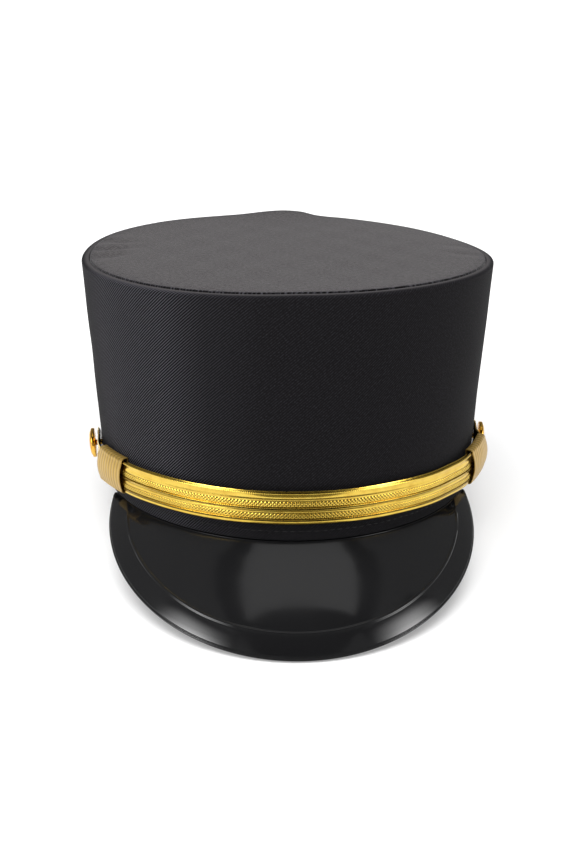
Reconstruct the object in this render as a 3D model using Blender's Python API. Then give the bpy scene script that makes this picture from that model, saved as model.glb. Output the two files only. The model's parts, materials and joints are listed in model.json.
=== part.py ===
"""Railway conductor cap: a tall oval crown that widens upwards, a moulded peak and a gold chin strap.

Metres, +Z up. The pieces are modelled in the cap's own frame: the origin is the middle of the
crown's bottom rim, Z runs up the crown and the front looks along -Y. An empty then seats the cap
on the floor as it rests, on the back of the rim and the front of the peak.
"""

import bisect
import functools
import math

import bmesh
import bpy
from mathutils import Matrix, Vector

# Head opening and side wall
HEAD_WIDTH = 0.1686
HEAD_LENGTH = 0.1976
CROWN_WALL = 0.0022
CROWN_SEGMENTS = 96

# Top rim, measured over the rolled edge
RIM_WIDTH = 0.1914
RIM_LENGTH = 0.2196
RIM_SHIFT = 0.0041
FRONT_HEIGHT = 0.1072
BACK_HEIGHT = 0.0945
ROLL_INSET = 0.0036
ROLL_RISE = 0.0020
ROLL_STEPS = 4

# How the rim leaves its flat plane: degrees round from the front, share of RIM_LIFT
RIM_LIFT = 0.0036
RIM_TABLE = (
    {"round": 0, "lift": 0.19},
    {"round": 40, "lift": 0.09},
    {"round": 75, "lift": -0.25},
    {"round": 110, "lift": -0.55},
    {"round": 140, "lift": -0.15},
    {"round": 158, "lift": 0.14},
    {"round": 167, "lift": 0.34},
    {"round": 173, "lift": 0.88},
    {"round": 180, "lift": 1.00},
    {"round": 194, "lift": 0.52},
    {"round": 220, "lift": 0.46},
    {"round": 245, "lift": 0.24},
    {"round": 275, "lift": -0.34},
    {"round": 305, "lift": -0.33},
    {"round": 330, "lift": -0.19},
    {"round": 360, "lift": 0.19},
)

# Top panel
PANEL_WALL = 0.0018
PANEL_DOME = 0.0015
PANEL_HEM = 0.0045
PANEL_RINGS = (0.30, 0.55, 0.75, 0.88)
LIFT_REACH = 6.0

# Folds of the top panel beside its left end: degrees round, half width in degrees, share of depth
FOLD_DEPTH = 0.0007
FOLD_TABLE = (
    {"round": 252, "width": 5, "depth": -0.7},
    {"round": 263, "width": 5, "depth": 1.0},
    {"round": 275, "width": 5, "depth": -0.9},
    {"round": 287, "width": 6, "depth": 0.6},
)
FOLD_MIDDLE = 0.86
FOLD_SPREAD = 0.12

# Peak, measured on its upper face
PEAK_REACH = 0.0388
PEAK_DROP = 0.0374
PEAK_WIDTH = 0.1655
PEAK_WIDEST = 0.0565
PEAK_WALL = 0.0016
PEAK_END_LIP = 0.0012
FLANGE_HEIGHT = 0.0080
PEAK_SEGMENTS = 47

# Blade of the peak: share of the way out from the crown, rise as a share of that way
BLADE_TABLE = (
    {"out": 0.12, "rise": 0.010},
    {"out": 0.28, "rise": 0.022},
    {"out": 0.46, "rise": 0.032},
    {"out": 0.64, "rise": 0.034},
    {"out": 0.80, "rise": 0.028},
    {"out": 0.92, "rise": 0.013},
    {"out": 1.00, "rise": 0.000},
)

# Chin strap
STRAP_WIDTH = 0.0151
STRAP_LEVEL = 0.0164
OUTER_THICKNESS = 0.0015
OUTER_CROWN = 0.0006
UNDER_THICKNESS = 0.0011
STRAP_BEVEL = 0.0004
STRAP_STAND = 0.0004
TAB_STAND = 0.0008
TAB_PAST_BUTTON = 0.0078
UNDER_PEEK = 0.0009
PEEK_START = -12
PEEK_FULL = 25
STRAP_STATIONS = 60
TAB_STATIONS = 6

# How the strap falls from its level at the front: degrees round, left of it negative, share of fall
STRAP_FALL = 0.0046
FALL_TABLE = (
    {"round": -100, "fall": 1.15},
    {"round": -88, "fall": 0.96},
    {"round": -70, "fall": 0.54},
    {"round": -55, "fall": 0.35},
    {"round": -33, "fall": 0.11},
    {"round": 0, "fall": 0.00},
    {"round": 28, "fall": 0.13},
    {"round": 45, "fall": 0.43},
    {"round": 62, "fall": 0.58},
    {"round": 75, "fall": 0.48},
    {"round": 86, "fall": 0.31},
    {"round": 100, "fall": 0.12},
)

# Keepers: degrees round from the front to the mouth, and how far the back plate stands off
KEEPER_LENGTH = 0.0225
KEEPER_WALL = 0.0005
KEEPER_CORNER = 0.0020
KEEPER_BULGE = 0.0006
KEEPER_STATIONS = 6
LEFT_KEEPER_ROUND = 55.5
RIGHT_KEEPER_ROUND = 62.5
LEFT_MOUTH_STAND = 0.0002
LEFT_REAR_STAND = 0.0013
RIGHT_MOUTH_STAND = 0.0010
RIGHT_REAR_STAND = 0.0024
KEEPER_LEAD = 0.0250
END_INSIDE = 0.0010

# Buttons: degrees round from the front
LEFT_BUTTON_ROUND = 88.0
RIGHT_BUTTON_ROUND = 86.0
BUTTON_RADIUS = 0.0070
BUTTON_STAND = 0.0034
BUTTON_RIM = 0.0009
BUTTON_DOME = 0.0022
POST_RADIUS = 0.0013
BACKING_RADIUS = 0.0050
BACKING_THICKNESS = 0.0010
BUTTON_SEGMENTS = 16
DOME_STEPS = 4

# Clearance between neighbours
GAP = 0.0003

# Places across an arched face, as shares of its half width from top to bottom
FACE_SHARES = (1.0, 0.6, 0.2, -0.2, -0.6, -1.0)
ARCH_SHARES = (1.0, 0.66, 0.33, 0.0, -0.33, -0.66, -1.0)

BASE_A = HEAD_WIDTH / 2 + CROWN_WALL
BASE_B = HEAD_LENGTH / 2 + CROWN_WALL
STACK_DEPTH = OUTER_THICKNESS + UNDER_THICKNESS + 3 * GAP
KEEPER_HALF = STRAP_WIDTH / 2 + GAP + KEEPER_WALL


def clear_scene():
    for old in list(bpy.data.objects):
        bpy.data.objects.remove(old, do_unlink=True)


def make_material(name, colour, roughness, metallic):
    material = bpy.data.materials.new(name)
    material.use_nodes = True
    shader = material.node_tree.nodes["Principled BSDF"]
    shader.inputs["Base Color"].default_value = (*colour, 1.0)
    shader.inputs["Roughness"].default_value = roughness
    shader.inputs["Metallic"].default_value = metallic
    material.diffuse_color = (*colour, 1.0)
    return material


def add_object(name, points, faces, material):
    mesh = bpy.data.meshes.new(name)
    mesh.from_pydata([tuple(point) for point in points], [], faces)
    shape = bmesh.new()
    shape.from_mesh(mesh)
    bmesh.ops.recalc_face_normals(shape, faces=shape.faces)
    shape.to_mesh(mesh)
    shape.free()
    mesh.shade_smooth()
    mesh.set_sharp_from_angle(angle=math.radians(35))
    mesh.materials.append(material)
    item = bpy.data.objects.new(name, mesh)
    bpy.context.scene.collection.objects.link(item)
    return item


def mix(low, high, share):
    return low + (high - low) * share


def ramp(value, start, end):
    """0 before start, 1 after end, and a smooth S between them."""
    share = min(max((value - start) / (end - start), 0.0), 1.0)
    return share * share * (3 - 2 * share)


def read_table(table, where, at, column):
    """A column's value between the rows, on a curve whose slope runs on smoothly through each row."""
    places = [row[where] for row in table]
    values = [row[column] for row in table]
    at = min(max(at, places[0]), places[-1])
    last = len(table) - 1
    index = min(bisect.bisect_right(places, at) - 1, last - 1)

    def slope(row):
        before, after = max(row - 1, 0), min(row + 1, last)
        return (values[after] - values[before]) / (places[after] - places[before])

    span = places[index + 1] - places[index]
    share = (at - places[index]) / span
    rest = 1 - share
    near = values[index] * (1 + 2 * share) + slope(index) * span * share
    far = values[index + 1] * (1 + 2 * rest) - slope(index + 1) * span * rest
    return near * rest ** 2 + far * share ** 2


def ring_faces(count_rings, count_points, closed_rings):
    """Quads between rings of points; closed_rings joins the last ring to the first."""
    faces = []
    last = count_rings if closed_rings else count_rings - 1
    for ring in range(last):
        following = (ring + 1) % count_rings
        for point in range(count_points):
            beside = (point + 1) % count_points
            faces.append((
                ring * count_points + point,
                ring * count_points + beside,
                following * count_points + beside,
                following * count_points + point,
            ))
    return faces


def loft(name, rings, material, closed):
    """A solid through rings of points: closed into a hoop or a tube, or capped at both ends."""
    size = len(rings[0])
    points = [point for ring in rings for point in ring]
    faces = ring_faces(len(rings), size, closed)
    if not closed:
        faces.append(tuple(range(size)))
        faces.append(tuple(range(len(points) - size, len(points))))
    return add_object(name, points, faces, material)


# Crown

def rim_lift(angle):
    return RIM_LIFT * read_table(RIM_TABLE, "round", math.degrees(angle) % 360, "lift")


def rim_height(angle):
    """Height of the rim's widest line: a plane that falls to the back, with its small lifts."""
    from_front = (1 - math.cos(angle)) / 2
    return mix(FRONT_HEIGHT, BACK_HEIGHT, from_front) + rim_lift(angle)


def crown_point(angle, height, stand=0.0):
    """A point of the side wall, angle round from the front towards +X, moved out by stand.

    The wall joins the base oval to the rim oval by straight lines.
    """
    up = height / rim_height(angle)
    half_width = mix(BASE_A, RIM_WIDTH / 2, up) + stand
    half_length = mix(BASE_B, RIM_LENGTH / 2, up) + stand
    return Vector((
        half_width * math.sin(angle),
        RIM_SHIFT * up - half_length * math.cos(angle),
        height,
    ))


def crown_normal(angle, height):
    step = 1e-4
    across = crown_point(angle + step, height) - crown_point(angle - step, height)
    upward = crown_point(angle, height + step) - crown_point(angle, height - step)
    return across.cross(upward).normalized()


def crown_angles():
    """Angles whose flats, not corners, lie at the very front and the very back."""
    step = 2 * math.pi / CROWN_SEGMENTS
    return [(index + 0.5) * step for index in range(CROWN_SEGMENTS)]


def crown_ring(stand, up, rise=0.0):
    return [crown_point(angle, up * rim_height(angle) + rise, stand) for angle in crown_angles()]


def make_crown_wall(material):
    rings = [crown_ring(0.0, up) for up in (0.0, 0.25, 0.5, 0.75)]
    for step in range(ROLL_STEPS + 1):
        turn = math.pi / 2 * step / ROLL_STEPS
        rings.append(crown_ring(-ROLL_INSET * (1 - math.cos(turn)), 1.0, ROLL_RISE * math.sin(turn)))
    rings.append(crown_ring(-ROLL_INSET, 1.0, ROLL_RISE - PANEL_WALL))
    rings.append(crown_ring(-CROWN_WALL, 1.0, ROLL_RISE - PANEL_WALL - (ROLL_INSET - CROWN_WALL)))
    rings.append(crown_ring(-CROWN_WALL, 0.5))
    rings.append(crown_ring(-CROWN_WALL, 0.0))
    return loft("crown_wall", rings, material, closed=True)


def fold_height(angle, share):
    degrees = math.degrees(angle) % 360
    along = math.exp(-((share - FOLD_MIDDLE) / FOLD_SPREAD) ** 2)
    wave = sum(
        row["depth"] * math.exp(-((degrees - row["round"]) / row["width"]) ** 2) for row in FOLD_TABLE
    )
    return FOLD_DEPTH * wave * along * (1 - share ** 8)


def panel_point(angle, share, inset, depth):
    """A point of the top panel, share of the way from its middle to its edge."""
    edge = crown_point(angle, rim_height(angle) + ROLL_RISE, -(ROLL_INSET + GAP + inset))
    edge.z -= rim_lift(angle)
    middle_height = (FRONT_HEIGHT + BACK_HEIGHT) / 2
    middle = Vector((0.0, RIM_SHIFT, middle_height + ROLL_RISE))
    point = middle.lerp(edge, share)
    point.z += rim_lift(angle) * share ** LIFT_REACH + PANEL_DOME * (1 - share ** 2)
    point.z += fold_height(angle, share) - depth
    return point


def hem_point(angle, inset, depth):
    return crown_point(angle, rim_height(angle) + ROLL_RISE - depth, -(ROLL_INSET + GAP + inset))


def make_crown_top(material):
    angles = crown_angles()
    rings = [[panel_point(angle, share, 0.0, 0.0) for angle in angles] for share in PANEL_RINGS]
    rings.append([hem_point(angle, 0.0, 0.0) for angle in angles])
    rings.append([hem_point(angle, 0.0, PANEL_HEM) for angle in angles])
    rings.append([hem_point(angle, PANEL_WALL, PANEL_HEM) for angle in angles])
    rings.append([hem_point(angle, PANEL_WALL, PANEL_WALL) for angle in angles])
    for share in reversed(PANEL_RINGS):
        rings.append([panel_point(angle, share, PANEL_WALL, PANEL_WALL) for angle in angles])
    points = [point for ring in rings for point in ring]
    size = len(angles)
    faces = ring_faces(len(rings), size, closed_rings=False)
    for depth, first in ((0.0, 0), (PANEL_WALL, len(points) - size)):
        middle = len(points)
        points.append(panel_point(0.0, 0.0, 0.0, depth))
        for index in range(size):
            faces.append((middle, first + index, first + (index + 1) % size))
    return add_object("crown_top", points, faces, material)


# Peak

def peak_edge(turn, end_y):
    """A point of the peak's outer edge: an oval whose height falls evenly to the front."""
    tip_y = -(BASE_B + PEAK_REACH)
    depth = BASE_B + PEAK_REACH - PEAK_WIDEST
    y = -PEAK_WIDEST - depth * math.cos(turn)
    fall = (end_y - y) / (end_y - tip_y)
    return Vector((PEAK_WIDTH / 2 * math.sin(turn), y, -GAP - (PEAK_DROP - GAP) * fall))


def peak_end_turn():
    """Turn at which the edge's oval comes back to the crown, found by halving."""
    inside, outside = math.pi, math.pi / 2
    for _ in range(50):
        turn = (inside + outside) / 2
        point = peak_edge(turn, 0.0)
        reach = (point.x / (BASE_A + PEAK_END_LIP)) ** 2 + (point.y / (BASE_B + PEAK_END_LIP)) ** 2
        if reach > 1:
            outside = turn
        else:
            inside = turn
    return outside


def blade_point(root, edge, out, rise):
    """A point between the blade's root and edge, raised square to the line that joins them."""
    way = edge - root
    flat = Vector((way.x, way.y, 0.0))
    lift = flat.normalized() * -way.z + Vector((0.0, 0.0, flat.length))
    return root + way * out + lift * rise


def peak_section(share, end_turn, end_y, end_angle):
    """Upper face of the peak across one place: flange, shelf under the crown's rim, and blade."""
    angle = end_angle * share
    inside = -(CROWN_WALL + GAP)
    root = crown_point(angle, -GAP)
    edge = peak_edge(end_turn * share, end_y)
    section = [crown_point(angle, FLANGE_HEIGHT, inside), crown_point(angle, -GAP, inside), root]
    return section + [blade_point(root, edge, row["out"], row["rise"]) for row in BLADE_TABLE]


def under_side(grid, thickness):
    """The grid's lower face, moved by thickness square to both strips that meet at each point."""
    rows = len(grid)
    columns = len(grid[0])
    lower = []
    for row in range(rows):
        along = [grid[min(row + 1, rows - 1)][column] - grid[max(row - 1, 0)][column]
                 for column in range(columns)]
        line = []
        for column in range(columns):
            before = max(column, 1)
            after = min(column + 1, columns - 1)
            first = along[column].cross(grid[row][before] - grid[row][before - 1]).normalized()
            second = along[column].cross(grid[row][after] - grid[row][after - 1]).normalized()
            shift = (first + second) / (1 + first.dot(second))
            line.append(grid[row][column] + shift * thickness)
        lower.append(line)
    return lower


def make_peak(material):
    end_turn = peak_end_turn()
    end_y = peak_edge(end_turn, 0.0).y
    end_angle = math.acos(-end_y / (BASE_B + PEAK_END_LIP))
    shares = [2 * index / PEAK_SEGMENTS - 1 for index in range(PEAK_SEGMENTS + 1)]
    upper = [peak_section(share, end_turn, end_y, end_angle) for share in shares]
    lower = under_side(upper, PEAK_WALL)
    rings = [top + bottom[::-1] for top, bottom in zip(upper, lower)]
    return loft("peak", rings, material, closed=False)


# Chin strap

def walk_round(angle, distance, side):
    """Angle reached from angle by going distance along the wall, away from the front."""
    steps = 60
    for _ in range(steps):
        here = crown_point(side * angle, STRAP_LEVEL)
        ahead = crown_point(side * (angle + 1e-4), STRAP_LEVEL)
        angle += distance / steps / (ahead - here).length * 1e-4
    return angle


@functools.lru_cache(maxsize=None)
def side_sizes(side):
    """Angles and stands of one side's keeper and button, side -1 for the left and 1 for the right."""
    left = side < 0
    mouth = math.radians(LEFT_KEEPER_ROUND if left else RIGHT_KEEPER_ROUND)
    button = math.radians(LEFT_BUTTON_ROUND if left else RIGHT_BUTTON_ROUND)
    return {
        "lead": walk_round(mouth, -KEEPER_LEAD, side),
        "mouth": mouth,
        "rear": walk_round(mouth, KEEPER_LENGTH, side),
        "inside_end": walk_round(mouth, KEEPER_LENGTH - END_INSIDE, side),
        "button": button,
        "tab": walk_round(button, -TAB_PAST_BUTTON, side),
        "end": walk_round(button, TAB_PAST_BUTTON, side),
        "mouth_stand": LEFT_MOUTH_STAND if left else RIGHT_MOUTH_STAND,
        "rear_stand": LEFT_REAR_STAND if left else RIGHT_REAR_STAND,
    }


def sizes_at(angle):
    return side_sizes(-1 if angle < 0 else 1)


def strap_level(angle):
    return STRAP_LEVEL - STRAP_FALL * read_table(FALL_TABLE, "round", math.degrees(angle), "fall")


def keeper_stand(sizes, angle):
    share = (angle - sizes["mouth"]) / (sizes["rear"] - sizes["mouth"])
    return mix(sizes["mouth_stand"], sizes["rear_stand"], share)


def layer_stand(angle, over):
    """How far a layer's inner face stands off the wall, over being what lies beneath it."""
    sizes = sizes_at(angle)
    place = abs(angle)
    in_keeper = KEEPER_WALL + GAP
    if place <= sizes["mouth"]:
        raised = sizes["mouth_stand"] + in_keeper
        return over + mix(STRAP_STAND, raised, ramp(place, sizes["lead"], sizes["mouth"]))
    if place <= sizes["rear"]:
        return over + keeper_stand(sizes, place) + in_keeper
    raised = over + sizes["rear_stand"] + in_keeper
    return mix(raised, TAB_STAND, ramp(place, sizes["rear"], sizes["tab"]))


def band_point(angle, across, stand):
    """A point of the strap or a keeper, across from its middle line and stand from the wall.

    The band hangs upright from its top edge where the wall slopes in below it, and lies along the
    wall only at a button's tab.
    """
    sizes = sizes_at(angle)
    upright = 1 - ramp(abs(angle), sizes["rear"], sizes["tab"])
    level = strap_level(angle)
    point = crown_point(angle, level + mix(across, KEEPER_HALF, upright), stand)
    point.z = level + across
    return point


def strap_section(angle, stand, thickness, crown, lift, narrow):
    """Cross section of a layer: flat behind, arched by crown in front, with bevelled edges.

    narrow is the share of the strap's width that the layer has here.
    """
    half = STRAP_WIDTH / 2 * narrow
    face = half - STRAP_BEVEL
    edge = thickness - crown - STRAP_BEVEL
    outline = [(0.0, -face), (0.0, face), (STRAP_BEVEL, half), (edge, half)]
    outline += [(thickness - crown * share ** 2, face * share) for share in FACE_SHARES]
    outline += [(edge, -half), (STRAP_BEVEL, -half)]
    return [band_point(angle, across + lift, stand + out) for out, across in outline]


def under_peek(angle):
    """How far the under layer rides above the outer one: most on the right, nothing in a keeper."""
    sizes = sizes_at(angle)
    to_keeper = 1 - ramp(abs(angle), sizes["lead"], sizes["mouth"])
    return UNDER_PEEK * to_keeper * ramp(math.degrees(angle), PEEK_START, PEEK_FULL)


def tab_stations(near):
    """Places from a tab's round end to its button, each with its share of the strap's width."""
    reach = near["end"] - near["button"]
    turns = [math.pi / 2 * (step + 1) / TAB_STATIONS for step in range(TAB_STATIONS)]
    return [(near["end"] - reach * (1 - math.cos(turn)), math.sin(turn)) for turn in turns]


def make_layer(name, side, thickness, crown, over, material):
    """One layer of the strap: a round tab past its button, and a square end inside the far keeper."""
    near = side_sizes(side)
    far = side_sizes(-side)
    rings = []
    for place, narrow in tab_stations(near):
        angle = side * place
        rings.append(strap_section(angle, layer_stand(angle, over), thickness, crown, 0.0, narrow))
    for step in range(1, STRAP_STATIONS + 1):
        angle = mix(side * near["button"], -side * far["inside_end"], step / STRAP_STATIONS)
        lift = 0.0 if over else under_peek(angle)
        rings.append(strap_section(angle, layer_stand(angle, over), thickness, crown, lift, 1.0))
    return loft(name, rings, material, closed=False)


def keeper_loop(angle, back, edge, half, corner, bulge):
    """A keeper's outline across the strap: flat back, rounded corners and an arched front."""
    stand = keeper_stand(sizes_at(angle), abs(angle))
    turn_in = corner * (1 - math.sqrt(0.5))
    top = [(back, half - GAP), (back + GAP, half), (edge - corner, half), (edge - turn_in, half - turn_in)]
    arch = [(edge + bulge * (1 - share ** 2), (half - corner) * share) for share in ARCH_SHARES]
    outline = top + arch + [(out, -across) for out, across in reversed(top)]
    return [band_point(angle, across, stand + out) for out, across in outline]


def make_keeper(name, side, material):
    sizes = side_sizes(side)
    hollow_edge = KEEPER_WALL + STACK_DEPTH - OUTER_CROWN
    hollow_half = STRAP_WIDTH / 2 + GAP
    outer = []
    inner = []
    for station in range(KEEPER_STATIONS + 1):
        angle = side * mix(sizes["mouth"], sizes["rear"], station / KEEPER_STATIONS)
        outer.append(keeper_loop(
            angle, 0.0, hollow_edge + KEEPER_WALL, KEEPER_HALF,
            KEEPER_CORNER, OUTER_CROWN + KEEPER_BULGE))
        inner.append(keeper_loop(angle, KEEPER_WALL, hollow_edge, hollow_half, STRAP_BEVEL, OUTER_CROWN))
    return loft(name, outer + inner[::-1], material, closed=True)


# Buttons

def button_seat(side):
    sizes = side_sizes(side)
    angle = side * sizes["button"]
    level = strap_level(angle)
    return crown_point(angle, level), crown_normal(angle, level)


def turned_solid(name, base, axis, profile, material):
    """A round solid about an axis: profile holds (radius, height) pairs and starts and ends on it."""
    across = axis.orthogonal().normalized()
    beside = axis.cross(across)
    points = [base + axis * profile[0][1]]
    for radius, height in profile[1:-1]:
        for index in range(BUTTON_SEGMENTS):
            turn = 2 * math.pi * index / BUTTON_SEGMENTS
            points.append(base + axis * height + (across * math.cos(turn) + beside * math.sin(turn)) * radius)
    points.append(base + axis * profile[-1][1])
    faces = []
    for ring_face in ring_faces(len(profile) - 2, BUTTON_SEGMENTS, closed_rings=False):
        faces.append(tuple(index + 1 for index in ring_face))
    last = len(points) - 1
    for index in range(BUTTON_SEGMENTS):
        beside_index = (index + 1) % BUTTON_SEGMENTS
        faces.append((0, 1 + index, 1 + beside_index))
        faces.append((last, last - BUTTON_SEGMENTS + index, last - BUTTON_SEGMENTS + beside_index))
    return add_object(name, points, faces, material)


def make_button(name, side, material):
    """A dome outside the strap, its post through strap and wall, and a plain backing inside."""
    base, axis = button_seat(side)
    backing = -(CROWN_WALL + GAP)
    profile = [
        (0.0, backing - BACKING_THICKNESS),
        (BACKING_RADIUS, backing - BACKING_THICKNESS),
        (BACKING_RADIUS, backing),
        (POST_RADIUS, backing),
        (POST_RADIUS, BUTTON_STAND),
        (BUTTON_RADIUS, BUTTON_STAND),
    ]
    for step in range(DOME_STEPS):
        turn = math.pi / 2 * step / DOME_STEPS
        height = BUTTON_STAND + BUTTON_RIM + BUTTON_DOME * math.sin(turn)
        profile.append((BUTTON_RADIUS * math.cos(turn), height))
    profile.append((0.0, BUTTON_STAND + BUTTON_RIM + BUTTON_DOME))
    return turned_solid(name, base, axis, profile, material)


def make_post_hole(name, side, material):
    """A guide for the hole that a button's post passes through."""
    base, axis = button_seat(side)
    radius = POST_RADIUS + GAP
    low = -(CROWN_WALL + BACKING_THICKNESS)
    profile = [(0.0, low), (radius, low), (radius, BUTTON_STAND), (0.0, BUTTON_STAND)]
    guide = turned_solid(name, base, axis, profile, material)
    guide.hide_render = True
    guide.display_type = "WIRE"
    return guide


def cut_hole(item, guide):
    hole = item.modifiers.new(guide.name, "BOOLEAN")
    hole.operation = "DIFFERENCE"
    hole.solver = "EXACT"
    hole.object = guide


# Seat on the floor

def lowest_point(item, turn):
    return min((turn @ vertex.co for vertex in item.data.vertices), key=lambda point: point.z)


def resting_lean(wall, peak):
    """Angle that brings the back of the rim and the front of the peak to one height."""
    lean = 0.0
    for _ in range(6):
        turn = Matrix.Rotation(lean, 3, "X")
        back = lowest_point(wall, turn)
        front = lowest_point(peak, turn)
        lean -= math.atan2(back.z - front.z, back.y - front.y)
    return lean


def seat_cap(items, wall, peak):
    """An empty that leans the cap back onto the floor, with its outline centred on the origin."""
    lean = resting_lean(wall, peak)
    turn = Matrix.Rotation(lean, 3, "X")
    points = [turn @ vertex.co for item in items for vertex in item.data.vertices]
    lows = [min(point[axis] for point in points) for axis in range(3)]
    highs = [max(point[axis] for point in points) for axis in range(3)]
    frame = bpy.data.objects.new("cap_frame", None)
    bpy.context.scene.collection.objects.link(frame)
    frame.rotation_euler = (lean, 0.0, 0.0)
    frame.location = (-(lows[0] + highs[0]) / 2, -(lows[1] + highs[1]) / 2, -lows[2])
    return frame


def build():
    clear_scene()
    side_cloth = make_material("side_cloth", (0.022, 0.021, 0.024), 0.85, 0.0)
    top_cloth = make_material("top_cloth", (0.040, 0.038, 0.038), 0.85, 0.0)
    peak_vinyl = make_material("peak_vinyl", (0.012, 0.012, 0.012), 0.18, 0.0)
    strap_gold = make_material("strap_gold", (0.72, 0.50, 0.12), 0.32, 1.0)
    keeper_gold = make_material("keeper_gold", (0.76, 0.58, 0.22), 0.35, 1.0)
    button_gold = make_material("button_gold", (0.78, 0.55, 0.14), 0.20, 1.0)

    wall = make_crown_wall(side_cloth)
    peak = make_peak(peak_vinyl)
    over_under = UNDER_THICKNESS + GAP
    outer = make_layer("strap_outer", -1, OUTER_THICKNESS, OUTER_CROWN, over_under, strap_gold)
    under = make_layer("strap_under", 1, UNDER_THICKNESS, 0.0, 0.0, strap_gold)
    items = [
        wall,
        make_crown_top(top_cloth),
        peak,
        outer,
        under,
        make_keeper("keeper_left", -1, keeper_gold),
        make_keeper("keeper_right", 1, keeper_gold),
        make_button("button_left", -1, button_gold),
        make_button("button_right", 1, button_gold),
    ]
    left_hole = make_post_hole("post_hole_left", -1, button_gold)
    right_hole = make_post_hole("post_hole_right", 1, button_gold)
    cut_hole(wall, left_hole)
    cut_hole(wall, right_hole)
    cut_hole(outer, left_hole)
    cut_hole(under, right_hole)

    frame = seat_cap(items, wall, peak)
    for item in items + [left_hole, right_hole]:
        item.parent = frame


build()
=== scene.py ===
import json
import math

import bmesh
import bpy
import numpy as np
from mathutils import Matrix, Vector


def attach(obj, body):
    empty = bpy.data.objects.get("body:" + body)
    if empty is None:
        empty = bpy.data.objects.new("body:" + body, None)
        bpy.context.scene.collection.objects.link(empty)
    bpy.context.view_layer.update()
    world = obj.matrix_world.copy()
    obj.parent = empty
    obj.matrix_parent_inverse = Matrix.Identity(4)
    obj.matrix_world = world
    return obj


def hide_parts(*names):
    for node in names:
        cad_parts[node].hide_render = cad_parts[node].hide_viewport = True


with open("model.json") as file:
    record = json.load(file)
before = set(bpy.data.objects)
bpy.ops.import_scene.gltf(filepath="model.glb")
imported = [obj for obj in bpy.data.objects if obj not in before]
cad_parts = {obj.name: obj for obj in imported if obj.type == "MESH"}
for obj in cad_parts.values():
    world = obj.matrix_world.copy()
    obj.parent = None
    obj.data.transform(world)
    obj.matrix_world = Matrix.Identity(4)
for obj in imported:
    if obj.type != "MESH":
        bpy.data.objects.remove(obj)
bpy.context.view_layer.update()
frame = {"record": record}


# Crown side wall: one strip of black wool-blend twill over a stiff backing, joined at the back.
# Its cloth is turned over the top edge in a soft roll and folded under at the bottom, where it is
# sewn to the peak and the cap's rim with one row of black topstitching.
opening = frame["record"]["mounts"][0]
CAP_ORIGIN = np.array(opening["pos_m"])
CAP_UP = -np.array(opening["axis"])
CAP_SIDE = np.array([1.0, 0.0, 0.0])
CAP_BACK = np.cross(CAP_UP, CAP_SIDE)

WALL = 0.0022
BASE_A = 0.1686 / 2 + WALL
BASE_B = 0.1976 / 2 + WALL
RIM_A = 0.1914 / 2
RIM_B = 0.2196 / 2
RIM_SHIFT = 0.0041
FRONT_HEIGHT = 0.1072
BACK_HEIGHT = 0.0945
ROLL_INSET = 0.0036
ROLL_RISE = 0.0020
GAP = 0.0003
RIM_LIFT = 0.0036
# The rim's small lifts, highest over the join at the back: degrees round from the front, share of RIM_LIFT
RIM_ROWS = (
    (0, 0.19), (40, 0.09), (75, -0.25), (110, -0.55), (140, -0.15), (158, 0.14), (167, 0.34),
    (173, 0.88), (180, 1.00), (194, 0.52), (220, 0.46), (245, 0.24), (275, -0.34), (305, -0.33),
    (330, -0.19), (360, 0.19),
)


def on_cap(x, y, z):
    """Cap coordinates to the room's: x across, y to the back and z up the crown from its rim's middle."""
    return CAP_ORIGIN + x[..., None] * CAP_SIDE + y[..., None] * CAP_BACK + z[..., None] * CAP_UP


def smooth_rows(rows, at):
    """Cubic curve through (place, value) rows; its slope at a row is that between its two neighbours."""
    places, values = np.array(rows, float).T
    before = np.maximum(np.arange(len(places)) - 1, 0)
    after = np.minimum(np.arange(len(places)) + 1, len(places) - 1)
    slopes = (values[after] - values[before]) / (places[after] - places[before])
    at = np.clip(at, places[0], places[-1])
    row = np.clip(np.searchsorted(places, at, side="right") - 1, 0, len(places) - 2)
    span = places[row + 1] - places[row]
    share = (at - places[row]) / span
    rest = 1 - share
    near = values[row] * (1 + 2 * share) + slopes[row] * span * share
    far = values[row + 1] * (1 + 2 * rest) - slopes[row + 1] * span * rest
    return near * rest ** 2 + far * share ** 2


def rim_lift(angle):
    """Lift of the rim over its plane: RIM_ROWS read round the cap as a smooth curve."""
    return RIM_LIFT * smooth_rows(RIM_ROWS, np.degrees(angle) % 360)


def rim_height(angle):
    """Height of the rim's widest line: a plane that falls to the back, plus its small lifts."""
    return FRONT_HEIGHT + (BACK_HEIGHT - FRONT_HEIGHT) * (1 - np.cos(angle)) / 2 + rim_lift(angle)


def crown(angle, height, stand):
    """Points of the side wall: straight lines from the base oval to the rim oval, moved out by stand."""
    up = height / rim_height(angle)
    x = (BASE_A + (RIM_A - BASE_A) * up + stand) * np.sin(angle)
    y = RIM_SHIFT * up - (BASE_B + (RIM_B - BASE_B) * up + stand) * np.cos(angle)
    return x, y, height + 0 * x


def along(x, y):
    """Distance run along rows of points, from each row's first point."""
    step = np.hypot(np.diff(x, axis=0), np.diff(y, axis=0))
    return np.concatenate([np.zeros_like(step[:1]), np.cumsum(step, axis=0)])


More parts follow.
